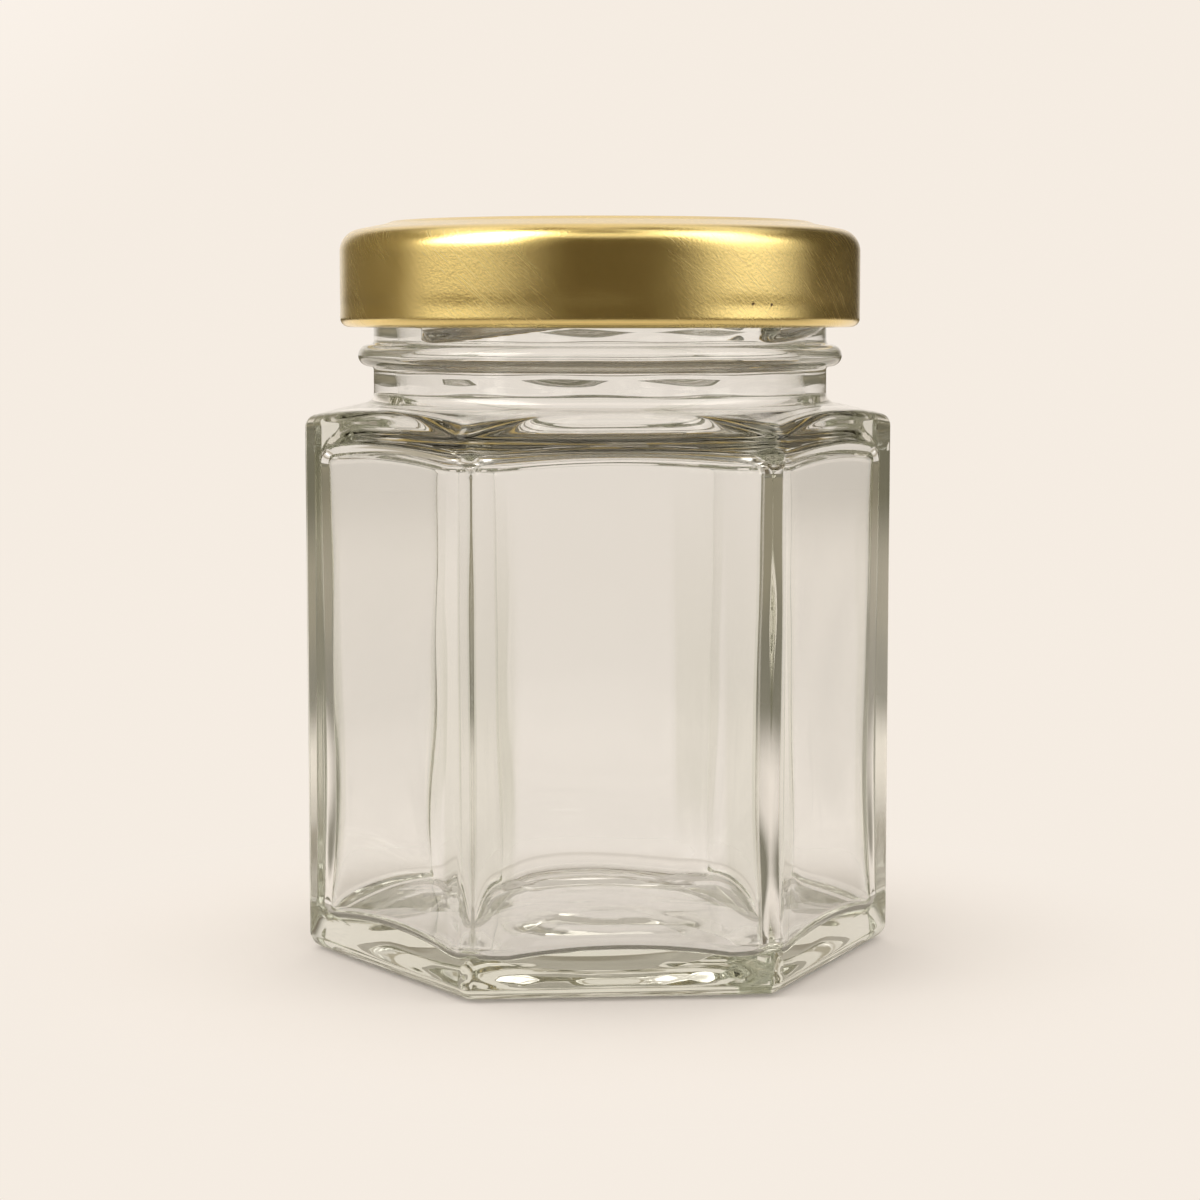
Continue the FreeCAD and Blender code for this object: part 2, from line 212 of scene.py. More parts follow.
def glass_outside():
    """Rings from the middle of the underside to the top of the rim."""
    base_line = rounded_hexagon(HALF_ACROSS - BASE_ROUND, max(CORNER_ROUND - BASE_ROUND, 0.1))
    hollow = []
    for share in np.linspace(0.06, 1, 16):
        radius = UNDERSIDE_RADIUS * share
        slope = min(1, (UNDERSIDE_RADIUS - radius) / UNDERSIDE_SLOPE_WIDTH)
        height = UNDERSIDE_RISE * (0.85 * slope ** 2 * (3 - 2 * slope) + 0.15 * (1 - share ** 2))
        hollow.append(lift(EVEN * radius, height))
    foot = blend(hollow[-1], lift(base_line, 0.0), 14)
    draws = np.random.default_rng(11)
    on_flat = np.clip((1 - np.abs(ALONG)) / 0.08, 0, 1)
    for ring in foot[2:-1]:
        ring[:, 2] += FOOT_KNURL * on_flat * draws.random(len(ring))
    rings = hollow + foot

    sideways = lift(OUTWARD, 0.0)
    downward = lift(OUTWARD * 0, -1.0)
    rings += ball_round(lift(base_line, BASE_ROUND), downward, sideways, BASE_ROUND, 9)[1:]

    inside_corner = rounded_hexagon(HALF_ACROSS - SHOULDER_ROUND, CORNER_ROUND - SHOULDER_ROUND)
    distance = np.linalg.norm(inside_corner, axis=1)
    centre_height = cone_height(distance, NECK_RADIUS, SHOULDER_HEIGHT)
    centres = lift(inside_corner, centre_height - SHOULDER_ROUND / math.cos(SHOULDER_SLOPE))
    shoulder = ball_round(centres, sideways, cone_normal(inside_corner), SHOULDER_ROUND, 9)
    rings += blend(rings[-1], shoulder[0], 22, crowded=True)
    rings += shoulder[1:]

    root_out = NECK_RADIUS + NECK_ROOT_ROUND
    root_up = cone_height(root_out, NECK_RADIUS, SHOULDER_HEIGHT)
    root_up += NECK_ROOT_ROUND / math.cos(SHOULDER_SLOPE)
    cone_foot = 270 - math.degrees(SHOULDER_SLOPE)
    root = arc(root_out, root_up, NECK_ROOT_ROUND, cone_foot, 180, 8)
    rings += slide_on_cone(shoulder[-1], root[0][0], NECK_RADIUS, SHOULDER_HEIGHT, 10)
    outline = root[1:] + neck_outline(root[-1][1])
    for out, up in outline:
        above_bead = up > BEAD_HEIGHT + BEAD_ROUND * 0.9 and out == NECK_RADIUS
        stand = thread_stand(up) if above_bead else 0
        rings.append(lift(EVEN * (out + stand * np.ones(len(EVEN)))[:, None], up))
    return rings


def slide_on_cone(ring, distance, root_distance, root_height, steps):
    """Rings from a ring on the sloping cone to a round one, all of them on the cone."""
    rings = []
    for flat in blend(ring[:, :2], EVEN * distance, steps):
        height = cone_height(np.linalg.norm(flat, axis=1), root_distance, root_height)
        rings.append(lift(flat, height))
    return rings


def neck_outline(start):
    """The neck's outline above its root: bead, threaded stretch and the outer half of the rim."""
    bead_out = NECK_RADIUS + BEAD_STAND - BEAD_ROUND
    touch = BEAD_ROUND + BEAD_ROOT_ROUND
    across = NECK_RADIUS + BEAD_ROOT_ROUND - bead_out
    rise = math.sqrt(touch ** 2 - across ** 2)
    lean = math.degrees(math.atan2(rise, across))
    low = BEAD_HEIGHT - rise
    high = BEAD_HEIGHT + rise
    fillet_out = NECK_RADIUS + BEAD_ROOT_ROUND
    points = [(NECK_RADIUS, up) for up in np.linspace(start, low, 6)[1:-1]]
    points += arc(fillet_out, low, BEAD_ROOT_ROUND, 180, 180 - lean, 5)
    points += arc(bead_out, BEAD_HEIGHT, BEAD_ROUND, -lean, lean, 16)[1:]
    points += arc(fillet_out, high, BEAD_ROOT_ROUND, 180 + lean, 180, 5)[1:-1]
    threaded = np.arange(high, THREAD_HEIGHT + 3.6, 0.22)
    points += [(NECK_RADIUS, up) for up in threaded]
    plain = np.linspace(threaded[-1], RIM_HEIGHT - RIM_ROUND, 5)[1:-1]
    points += [(NECK_RADIUS, up) for up in plain]
    points += arc(NECK_RADIUS - RIM_ROUND, RIM_HEIGHT - RIM_ROUND, RIM_ROUND, 0, 90, 6)
    return points


def unevenness(height):
    """How far blowing left the wall thicker or thinner at that height, for each column, in mm."""
    turned = EVEN_ANGLE + 0.35 * np.sin(height / 17)
    waves = 0.45 * np.sin(7 * turned + height / 13) + 0.3 * np.sin(13 * turned - height / 21 + 1.3)
    return waves + 0.25 * np.sin(23 * turned + height / 34 + 0.6)


def corner_softness(share):
    """How softly the hollow turns its corners, from the ceiling (0) to the floor (1): crisp at
    both ends and softest above the floor."""
    soft = 0.28 + 0.72 * math.exp(-((share - 0.80) / 0.22) ** 2)
    soft *= math.sin(math.pi * share) ** 0.45
    return 1 / CAVITY_SHARP_ENDS + (1 / CAVITY_SHARP_MIDDLE - 1 / CAVITY_SHARP_ENDS) * soft


def glass_inside():
    """Rings from the mouth's edge down to the middle of the jar's floor."""
    outline = arc(MOUTH_RADIUS + RIM_ROUND, RIM_HEIGHT - RIM_ROUND, RIM_ROUND, 90, 180, 6)
    ceiling_root = SHOULDER_HEIGHT - SHOULDER_THICKNESS / math.cos(SHOULDER_SLOPE)
    root_out = MOUTH_RADIUS + MOUTH_ROOT_ROUND
    root_up = cone_height(root_out, MOUTH_RADIUS, ceiling_root)
    root_up += MOUTH_ROOT_ROUND / math.cos(SHOULDER_SLOPE)
    cone_foot = 270 - math.degrees(SHOULDER_SLOPE)
    root = arc(root_out, root_up, MOUTH_ROOT_ROUND, 180, cone_foot, 10)
    outline += [(MOUTH_RADIUS, up) for up in np.linspace(outline[-1][1], root[0][1], 36)[1:-1]]
    outline += root
    rings = []
    for out, up in outline:
        held = min(1, max(0, (RIM_HEIGHT - 2 - up) / 3)) * min(1, max(0, (up - ceiling_root) / 3))
        waves = np.sin(2.3 * up + 0.5 * np.sin(EVEN_ANGLE))
        waves += 0.6 * np.sin(5.1 * up + np.sin(2 * EVEN_ANGLE))
        waves += 0.5 * np.sin(11 * EVEN_ANGLE + up)
        rings.append(lift(EVEN * (out - NECK_WAVES * held * (1 + waves / 2.1))[:, None], up))

    half = HALF_ACROSS - WALL
    top_line, outward = soft_hexagon(half - CEILING_ROUND, CAVITY_SHARP_ENDS)
    distance = np.linalg.norm(top_line, axis=1)
    centre_height = cone_height(distance, MOUTH_RADIUS, ceiling_root)
    centres = lift(top_line, centre_height - CEILING_ROUND / math.cos(SHOULDER_SLOPE))
    ceiling = ball_round(centres, cone_normal(top_line), lift(outward, 0.0), CEILING_ROUND, 10)

    on_cone = ceiling[0][:, :2]
    spread = blend(rings[-1][:, :2], on_cone, 8)[:-1]
    rings += [lift(flat, cone_height(np.linalg.norm(flat, axis=1), MOUTH_RADIUS, ceiling_root))
              for flat in spread]
    rings += ceiling

    floor_line, outward = soft_hexagon(half - FLOOR_ROUND, CAVITY_SHARP_ENDS)
    arch = FLOOR_ARCH * (1 - np.abs(ALONG) ** 2)
    floor_centres = lift(floor_line, FLOOR_HEIGHT + FLOOR_ROUND + arch)
    downward = lift(outward * 0, -1.0)
    floor = ball_round(floor_centres, lift(outward, 0.0), downward, FLOOR_ROUND, 12)
    top, bottom = ceiling[-1], floor[0]
    crisp, _ = soft_hexagon(half, CAVITY_SHARP_ENDS)
    for step in range(1, WALL_ROWS):
        share = 0.5 - 0.5 * math.cos(math.pi * step / WALL_ROWS)
        straight = top + (bottom - top) * share
        soft, _ = soft_hexagon(half, 1 / corner_softness(share))
        belly = math.sin(math.pi * share) ** 1.6
        inward = soft - crisp - HOLLOW_WAYS * CAVITY_BOW * belly
        inward += HOLLOW_WAYS * (WALL_WAVES * belly * unevenness(straight[0, 2]))[:, None]
        rings.append(straight + lift(inward, 0.0))
    rings += floor

    last = rings[-1]
    dome_edge = half - FLOOR_ROUND
    bend = (dome_edge ** 2 + FLOOR_RISE ** 2) / (2 * FLOOR_RISE)
    for share in np.linspace(1, 0.05, 22)[1:]:
        flat = last[:, :2] * share
        distance = np.linalg.norm(flat, axis=1)
        dome = FLOOR_RISE - bend + np.sqrt(bend ** 2 - np.minimum(distance, dome_edge) ** 2)
        height = FLOOR_HEIGHT + dome + (last[:, 2] - FLOOR_HEIGHT) * share ** 3
        ripple = np.sin(distance / 1.15 + 0.8 * np.sin(2 * EVEN_ANGLE + 0.4))
        ripple *= math.sin(math.pi * share) * (0.7 + 0.3 * np.sin(3 * EVEN_ANGLE))
        height += FLOOR_RIPPLES * ripple
        rings.append(lift(flat, height))
    return rings


def thick_corners(rings):
    """For each point of the inside, how far it belongs to a corner, where the glass is thickest."""
    corner = np.clip((np.abs(ALONG) - 0.90) / 0.10, 0, 1) ** 2
    marks = []
    for ring in rings:
        low = np.clip((ring[:, 2] - FLOOR_HEIGHT - 2) / 8, 0, 1)
        high = np.clip((CORNER_TOP - ring[:, 2]) / 26, 0, 1)
        marks += (corner * low * high).tolist()
    return marks


def surface_of(rings, name):
    """A closed mesh in metres through rings of equally many points, with a pole at each end."""
    count = len(rings[0])
    points = np.concatenate(rings)
    here = np.arange(count)
    following = (here + 1) % count
    faces = []
    for number in range(len(rings) - 1):
        low, high = number * count, (number + 1) * count
        quads = np.column_stack([low + here, low + following, high + following, high + here])
        faces += quads.tolist()
    first_pole = len(points)
    poles = [(0.0, 0.0, rings[0][0, 2]), (0.0, 0.0, rings[-1][0, 2])]
    points = np.concatenate([points, poles])
    faces += [[first_pole, int(b), int(a)] for a, b in zip(here, following)]
    last = (len(rings) - 1) * count
    faces += [[first_pole + 1, last + int(a), last + int(b)] for a, b in zip(here, following)]
    mesh = bpy.data.meshes.new(name)
    mesh.from_pydata((points * MM).tolist(), [], faces)
    mesh.validate()
    mesh.shade_smooth()
    piece = bpy.data.objects.new(name, mesh)
    bpy.context.scene.collection.objects.link(piece)
    return piece


def new_material(name):
    """An empty material's nodes, links, Principled shader and output."""
    material = bpy.data.materials.new(name)
    material.use_nodes = True
    nodes, links = material.node_tree.nodes, material.node_tree.links
    return material, nodes, links, nodes["Principled BSDF"], nodes["Material Output"]


def math_node(nodes, links, operation, first, second=0.0):
    node = nodes.new("ShaderNodeMath")
    node.operation = operation
    for socket, item in zip(node.inputs, (first, second)):
        if isinstance(item, (int, float)):
            socket.default_value = item
        else:
            links.new(item, socket)
    return node.outputs[0]


def mixed_colour(nodes, links, factor, first, second, way="MIX"):
    mix = nodes.new("ShaderNodeMix")
    mix.data_type = "RGBA"
    mix.blend_type = way
    sockets = (mix.inputs["Factor"], mix.inputs[6], mix.inputs[7])
    for socket, item in zip(sockets, (factor, first, second)):
        if isinstance(item, (tuple, float)):
            socket.default_value = item
        else:
            links.new(item, socket)
    return mix.outputs[2]


def noise(nodes, links, place, scale, detail=2.0):
    node = nodes.new("ShaderNodeTexNoise")
    node.inputs["Scale"].default_value = scale
    node.inputs["Detail"].default_value = detail
    links.new(place, node.inputs["Vector"])
    return node.outputs["Fac"]


def marked(piece, name, values):
    """Stores a number for each point of the piece, for its material to read."""
    piece.data.attributes.new(name, "FLOAT", "POINT").data.foreach_set("value", values)


def mark_of(nodes, name):
    node = nodes.new("ShaderNodeAttribute")
    node.attribute_name = name
    return node.outputs["Fac"]


CORD_GREY = (0.974, 0.972, 0.969, 1.0)
CORD_CLEAR = (0.986, 0.984, 0.982, 1.0)
CORD_SCALES = (160.0, 160.0, 45.0)
THICK_GREY = (0.80, 0.805, 0.75, 1.0)
GLASS_IOR = 1.52
GLASS_TINT = (0.60, 0.62, 0.44, 1.0)
GLASS_DENSITY = 8.5


def clear_glass():
    """Clear glass with faint upright cords that turns grey-green where it is seen lengthways."""
    material, nodes, links, shader, output = new_material("clear_glass")
    shader.inputs["Roughness"].default_value = 0.0
    shader.inputs["IOR"].default_value = GLASS_IOR
    shader.inputs["Transmission Weight"].default_value = 1.0
    stretched = nodes.new("ShaderNodeMapping")
    stretched.inputs["Scale"].default_value = CORD_SCALES
    links.new(nodes.new("ShaderNodeTexCoord").outputs["Object"], stretched.inputs["Vector"])
    waves = noise(nodes, links, stretched.outputs[0], 1.0, 1.0)
    cords = mixed_colour(nodes, links, waves, CORD_GREY, CORD_CLEAR)
    colour = mixed_colour(nodes, links, mark_of(nodes, "thick"), cords, THICK_GREY)
    links.new(colour, shader.inputs["Base Color"])
    tint = nodes.new("ShaderNodeVolumeAbsorption")
    tint.inputs["Color"].default_value = GLASS_TINT
    tint.inputs["Density"].default_value = GLASS_DENSITY
    links.new(tint.outputs["Volume"], output.inputs["Volume"])
    return material


outside, inside = glass_outside(), glass_inside()
jar = surface_of(outside + inside, "glass_jar")
outside_marks = [0.0] * (len(outside) * len(HEXAGON))
marked(jar, "thick", outside_marks + thick_corners(inside) + [0.0, 0.0])
jar.data.materials.append(clear_glass())
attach(jar, "root")
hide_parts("jar")


# ---- Lid -------------------------------------------------------------------------------------
# The lid is one pressing of tinned sheet steel under satin gold lacquer: a raised disc, a sloping
# ring over the seal, and a straight skirt whose raw edge is rolled inwards into a curl.
# Four lugs bent in from the curl hold it under the jar's threads.

lid_low, lid_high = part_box("lid")
LID_RADIUS = (lid_high.y - lid_low.y) / 2 / MM
LID_BOTTOM = lid_low.z / MM
LID_TOP = lid_high.z / MM
SHEET = 0.25
LID_ROUND = 2.6
CURL_ROUND = 1.05
CURL_WRAP = 240
CURL_LEAD = 0.2
ROLL_HEIGHT = 2.3
ROLL_WIDTH = 0.9
ROLL_WAVES = 0.07
RING_WIDTH = 5.2
RING_SLOPE = math.radians(11)
STEP_WIDTH = 0.8
DISC_RISE = 0.32
DISC_MIDDLE = 1.2
PRESS_ROUND = 0.45
LID_COLUMNS = 360
LUGS = 4
LUG_TURN = 94.6
LUG_WIDTH = 16
LUG_REACH = 2.5
LUG_RISE = 0.25
LUG_THICKNESS = 0.9

GOLD_DEEP = (0.78, 0.585, 0.205, 1.0)
GOLD_PALE = (0.95, 0.755, 0.32, 1.0)
GOLD_WORN = (0.94, 0.80, 0.45, 1.0)
PIT_BROWN = (0.16, 0.10, 0.04, 1.0)
PALE_TIN = (0.82, 0.79, 0.72, 1.0)
MOTTLE_SHARES = (0.45, 0.55)
SKIRT_EDGE = (1.2, 0.8)
HAIRLINES = (
    {"lean": 44, "along": 150.0, "across": 6000.0, "least": 0.68},
    {"lean": 36, "along": 180.0, "across": 6600.0, "least": 0.70},
)
TOP_HAIRLINES = 0.25
HAIRLINE_WEAR = 0.14
PITS = ((28.8, 75.5, 0.28), (33.6, 75.4, 0.22))
SATIN = 0.19
CLOUD_SATIN = 0.10
HAIRLINE_SATIN = 0.10
GRAIN_HEIGHT = 0.012 * MM
GRAIN_DEPTH = 1.1
HAIRLINE_DEPTH = 0.12
PIT_DEPTH = 6.0


def bent(corners, steps):
    """An outline through corners (out, up, radius) with each bend rounded to its radius."""
    points = [corners[0][:2]]
    for before, corner, after in zip(corners, corners[1:], corners[2:]):
        here = Vector(corner[:2])
        back = (Vector(before[:2]) - here).normalized()
        on = (Vector(after[:2]) - here).normalized()
        half = back.angle(on) / 2
        reach = corner[2] / math.tan(half)
        centre = here + (back + on).normalized() * corner[2] / math.sin(half)
        start = here + back * reach - centre
        end = here + on * reach - centre
        turn = start.angle(end)
        for step in range(steps + 1):
            share = step / steps
            spoke = start * math.sin((1 - share) * turn) + end * math.sin(share * turn)
            points.append(tuple(centre + spoke / math.sin(turn)))
    return points + [corners[-1][:2]]


def lid_outline():
    """The lid's section from the middle of its top, round the curl and back to the middle below."""
    ring_out = LID_RADIUS - RING_WIDTH
    ring_up = LID_TOP - DISC_RISE
    edge_up = ring_up - RING_WIDTH * math.tan(RING_SLOPE)
    under = SHEET / math.cos(RING_SLOPE)
    inner_out = LID_RADIUS - SHEET
    inner_up = edge_up - under + SHEET * math.tan(RING_SLOPE)
    curl_out = LID_RADIUS - CURL_ROUND
    curl_up = LID_BOTTOM + CURL_ROUND
    outer = bent([
        (DISC_MIDDLE, LID_TOP),
        (ring_out - STEP_WIDTH, LID_TOP, PRESS_ROUND),
        (ring_out, ring_up, PRESS_ROUND),
        (LID_RADIUS, edge_up, LID_ROUND),
        (LID_RADIUS, curl_up + CURL_LEAD),
    ], steps=10)
    inner = bent([
        (inner_out, curl_up + CURL_LEAD),
        (inner_out, inner_up, LID_ROUND - SHEET),
        (ring_out, ring_up - under, PRESS_ROUND),
        (ring_out - STEP_WIDTH, LID_TOP - SHEET, PRESS_ROUND),
        (DISC_MIDDLE, LID_TOP - SHEET),
    ], steps=6)
    roll = arc(curl_out, curl_up, CURL_ROUND, 0, -CURL_WRAP, 26)
    unroll = arc(curl_out, curl_up, CURL_ROUND - SHEET, -CURL_WRAP, 0, 20)
    return with_middles(outer, 0.5) + roll, unroll + with_middles(inner, 1.2)


def with_middles(points, spacing):
    """The outline with extra points on its long straight stretches."""
    filled = [points[0]]
    for start, end in zip(points, points[1:]):
        length = math.dist(start, end)
        parts = max(1, round(length / spacing))
        for part in range(1, parts + 1):
            share = part / parts
            filled.append(tuple(first + (last - first) * share for first, last in zip(start, end)))
    return filled


def turned_rings(outline, columns):
    """The outline turned round the axis. Rolling the edge has drawn the skirt in above it, a
    little more here and a little less there."""
    turns = np.linspace(0, 2 * math.pi, columns, endpoint=False)
    waves = 0.5 * np.sin(6 * turns + 0.4) + 0.3 * np.sin(11 * turns + 1)
    waves += 0.2 * np.sin(17 * turns + 2)
    rings = []
    for out, up in outline:
        skirt = min(1, max(0, (out - LID_RADIUS + 0.6) / 0.6))
        near = skirt * math.exp(-((up - LID_BOTTOM - ROLL_HEIGHT) / ROLL_WIDTH) ** 2)
        drawn_in = ROLL_WAVES * near * (1 + waves) / 2
        rings.append(lift(unit(turns) * (out - drawn_in)[:, None], up))
    return rings


def smooth_range(nodes, links, value, start, end):
    node = nodes.new("ShaderNodeMapRange")
    node.interpolation_type = "SMOOTHSTEP"
    node.inputs["From Min"].default_value = start
    node.inputs["From Max"].default_value = end
    links.new(value, node.inputs["Value"])
    return node.outputs["Result"]


def hairlines(nodes, links, unrolled, lean, along, across, least):
    """Fine straight scratches that lean by that angle on the unrolled skirt, here and there."""
    turned = nodes.new("ShaderNodeVectorRotate")
    turned.rotation_type = "Z_AXIS"
    turned.inputs["Angle"].default_value = math.radians(lean)
    links.new(unrolled, turned.inputs["Vector"])
    stretched = nodes.new("ShaderNodeMapping")
    stretched.inputs["Scale"].default_value = (along, across, 1.0)
    links.new(turned.outputs[0], stretched.inputs["Vector"])
    streaks = noise(nodes, links, stretched.outputs[0], 1.0, 0.0)
    lines = smooth_range(nodes, links, streaks, least, least + 0.05)
    patches = smooth_range(nodes, links, noise(nodes, links, unrolled, 70.0, 1.0), 0.38, 0.66)
    return math_node(nodes, links, "MULTIPLY", lines, patches)


def pit(nodes, links, place, position, size):
    """A speck of knocked-off lacquer at a place on the lid."""
    away = nodes.new("ShaderNodeVectorMath")
    away.operation = "DISTANCE"
    away.inputs[1].default_value = position
    links.new(place, away.inputs[0])
    rough = math_node(nodes, links, "MULTIPLY", noise(nodes, links, place, 4000.0), size * 1.2)
    return smooth_range(nodes, links, math_node(nodes, links, "ADD", away.outputs["Value"], rough),
                        size * 1.5, size * 1.1)


def unrolled_place(nodes, links, place):
    """How far a place belongs to the skirt, and the place with the skirt unrolled flat."""
    parts = nodes.new("ShaderNodeSeparateXYZ")
    links.new(place, parts.inputs[0])
    ahead = math_node(nodes, links, "MULTIPLY", parts.outputs["Y"], -1.0)
    angle = math_node(nodes, links, "ARCTAN2", parts.outputs["X"], ahead)
    flat = nodes.new("ShaderNodeCombineXYZ")
    links.new(parts.outputs["X"], flat.inputs["X"])
    links.new(parts.outputs["Y"], flat.inputs["Y"])
    out = nodes.new("ShaderNodeVectorMath")
    out.operation = "LENGTH"
    links.new(flat.outputs[0], out.inputs[0])
    edge = [(LID_RADIUS - inset) * MM for inset in SKIRT_EDGE]
    on_skirt = smooth_range(nodes, links, out.outputs["Value"], *edge)
    rolled = nodes.new("ShaderNodeCombineXYZ")
    links.new(math_node(nodes, links, "MULTIPLY", angle, LID_RADIUS * MM), rolled.inputs["X"])
    links.new(parts.outputs["Z"], rolled.inputs["Y"])
    unrolled = nodes.new("ShaderNodeMix")
    unrolled.data_type = "VECTOR"
    links.new(on_skirt, unrolled.inputs["Factor"])
    links.new(flat.outputs[0], unrolled.inputs[4])
    links.new(rolled.outputs[0], unrolled.inputs[5])
    return on_skirt, unrolled.outputs[1]


def gold_lacquer():
    """Satin gold lacquer over bright steel, with fine grain, hairlines and two small pits. The
    inside of the pressing is left in pale clear-lacquered tin."""
    material, nodes, links, shader, _ = new_material("gold_lacquer")
    place = nodes.new("ShaderNodeTexCoord").outputs["Object"]
    on_skirt, unrolled = unrolled_place(nodes, links, place)
    both_kinds = [hairlines(nodes, links, unrolled, **kind) for kind in HAIRLINES]
    lines = math_node(nodes, links, "MAXIMUM", *both_kinds)
    handled = math_node(nodes, links, "MAXIMUM", on_skirt, TOP_HAIRLINES)
    lines = math_node(nodes, links, "MULTIPLY", lines, handled)
    both_pits = [pit(nodes, links, place, skirt_point(turn, height), size * MM)
                 for turn, height, size in PITS]
    pits = math_node(nodes, links, "MAXIMUM", *both_pits)
    clouds = noise(nodes, links, place, 160.0, 3.0)
    grain = noise(nodes, links, place, 3300.0, 2.0)

    mottle = math_node(nodes, links, "ADD",
                       math_node(nodes, links, "MULTIPLY", clouds, MOTTLE_SHARES[0]),
                       math_node(nodes, links, "MULTIPLY", grain, MOTTLE_SHARES[1]))
    lacquer = mixed_colour(nodes, links, mottle, GOLD_DEEP, GOLD_PALE)
    worn = math_node(nodes, links, "MULTIPLY", lines, HAIRLINE_WEAR)
    lacquer = mixed_colour(nodes, links, worn, lacquer, GOLD_WORN)
    lacquer = mixed_colour(nodes, links, pits, lacquer, PIT_BROWN)
    colour = mixed_colour(nodes, links, mark_of(nodes, "inside"), lacquer, PALE_TIN)
    links.new(colour, shader.inputs["Base Color"])
    shader.inputs["Metallic"].default_value = 1.0
    dull = math_node(nodes, links, "MULTIPLY_ADD", clouds, CLOUD_SATIN)
    dull.node.inputs[2].default_value = SATIN
    scratched = math_node(nodes, links, "MULTIPLY", lines, HAIRLINE_SATIN)
    dull = math_node(nodes, links, "ADD", dull, scratched)
    links.new(dull, shader.inputs["Roughness"])
    height = math_node(nodes, links, "MULTIPLY", grain, GRAIN_DEPTH)
    for marks, depth in ((lines, HAIRLINE_DEPTH), (pits, PIT_DEPTH)):
        sunk = math_node(nodes, links, "MULTIPLY", marks, depth)
        height = math_node(nodes, links, "SUBTRACT", height, sunk)
    skin = nodes.new("ShaderNodeBump")
    skin.inputs["Distance"].default_value = GRAIN_HEIGHT
    links.new(height, skin.inputs["Height"])
    links.new(skin.outputs[0], shader.inputs["Normal"])
    shader.inputs["Coat Weight"].default_value = 0.5
    shader.inputs["Coat Roughness"].default_value = 0.12
    shader.inputs["Coat IOR"].default_value = 1.5
    return material


def skirt_point(degrees, height):
    """A place on the skirt, its angle counted from the middle of the front face to the right."""
    turn = math.radians(degrees)
    out = LID_RADIUS * MM
    return (out * math.sin(turn), -out * math.cos(turn), height * MM)


def lug_tree(material):
    """The lugs: one bent tab, repeated at even turns round the lid."""
    tree = bpy.data.node_groups.new("lid_lugs", "GeometryNodeTree")
    nodes, links = tree.nodes, tree.links
    tree.interface.new_socket("Geometry", in_out="INPUT", socket_type="NodeSocketGeometry")
    tree.interface.new_socket("Count", in_out="INPUT", socket_type="NodeSocketInt")
    for name in ("First turn", "Turn width", "Inner radius", "Outer radius", "Bottom", "Thickness"):
        tree.interface.new_socket(name, in_out="INPUT", socket_type="NodeSocketFloat")
    tree.interface.new_socket("Geometry", in_out="OUTPUT", socket_type="NodeSocketGeometry")
    given = nodes.new("NodeGroupInput").outputs

    block = nodes.new("GeometryNodeMeshCube")
    block.inputs["Size"].default_value = (1.0, 1.0, 1.0)
    block.inputs["Vertices X"].default_value = 8
    block.inputs["Vertices Y"].default_value = 18
    block.inputs["Vertices Z"].default_value = 4
    parts = nodes.new("ShaderNodeSeparateXYZ")
    links.new(nodes.new("GeometryNodeInputPosition").outputs[0], parts.inputs[0])
    outward = math_node(nodes, links, "ADD", parts.outputs["X"], 0.5)
    inward = math_node(nodes, links, "SUBTRACT", 0.5, parts.outputs["X"])
    reach = math_node(nodes, links, "SUBTRACT", given["Outer radius"], given["Inner radius"])
    radius = math_node(nodes, links, "MULTIPLY", outward, reach)
    radius = math_node(nodes, links, "ADD", radius, given["Inner radius"])
    narrowing = math_node(nodes, links, "POWER", inward, 5.0)
    narrowing = math_node(nodes, links, "MULTIPLY", narrowing, -0.22)
    spread = math_node(nodes, links, "MULTIPLY", parts.outputs["Y"],
                       math_node(nodes, links, "ADD", narrowing, 1.0))
    angle = math_node(nodes, links, "MULTIPLY", spread, given["Turn width"])
    thinning = math_node(nodes, links, "POWER", inward, 3.0)
    thinning = math_node(nodes, links, "MULTIPLY", thinning, -0.45)
    level = math_node(nodes, links, "MULTIPLY", parts.outputs["Z"],
                      math_node(nodes, links, "ADD", thinning, 1.0))
    level = math_node(nodes, links, "ADD", level, 0.5)
    level = math_node(nodes, links, "MULTIPLY", level, given["Thickness"])
    bent_place = nodes.new("ShaderNodeCombineXYZ")
    for axis, turn in (("X", "COSINE"), ("Y", "SINE")):
        share = math_node(nodes, links, turn, angle)
        links.new(math_node(nodes, links, "MULTIPLY", radius, share), bent_place.inputs[axis])
    links.new(math_node(nodes, links, "ADD", level, given["Bottom"]), bent_place.inputs["Z"])
    bend = nodes.new("GeometryNodeSetPosition")
    links.new(block.outputs["Mesh"], bend.inputs["Geometry"])
    links.new(bent_place.outputs[0], bend.inputs["Position"])

    points = nodes.new("GeometryNodePoints")
    links.new(given["Count"], points.inputs["Count"])
    step = math_node(nodes, links, "DIVIDE", 2 * math.pi, given["Count"])
    turn = math_node(nodes, links, "MULTIPLY", nodes.new("GeometryNodeInputIndex").outputs[0], step)
    turn = math_node(nodes, links, "ADD", turn, given["First turn"])
    rotation = nodes.new("ShaderNodeCombineXYZ")
    links.new(turn, rotation.inputs["Z"])
    repeat = nodes.new("GeometryNodeInstanceOnPoints")
    links.new(points.outputs[0], repeat.inputs["Points"])
    links.new(bend.outputs[0], repeat.inputs["Instance"])
    links.new(rotation.outputs[0], repeat.inputs["Rotation"])
    realize = nodes.new("GeometryNodeRealizeInstances")
    links.new(repeat.outputs[0], realize.inputs[0])
    paint = nodes.new("GeometryNodeSetMaterial")
    paint.inputs["Material"].default_value = material
    links.new(realize.outputs[0], paint.inputs["Geometry"])
    links.new(paint.outputs[0], nodes.new("NodeGroupOutput").inputs[0])
    return tree


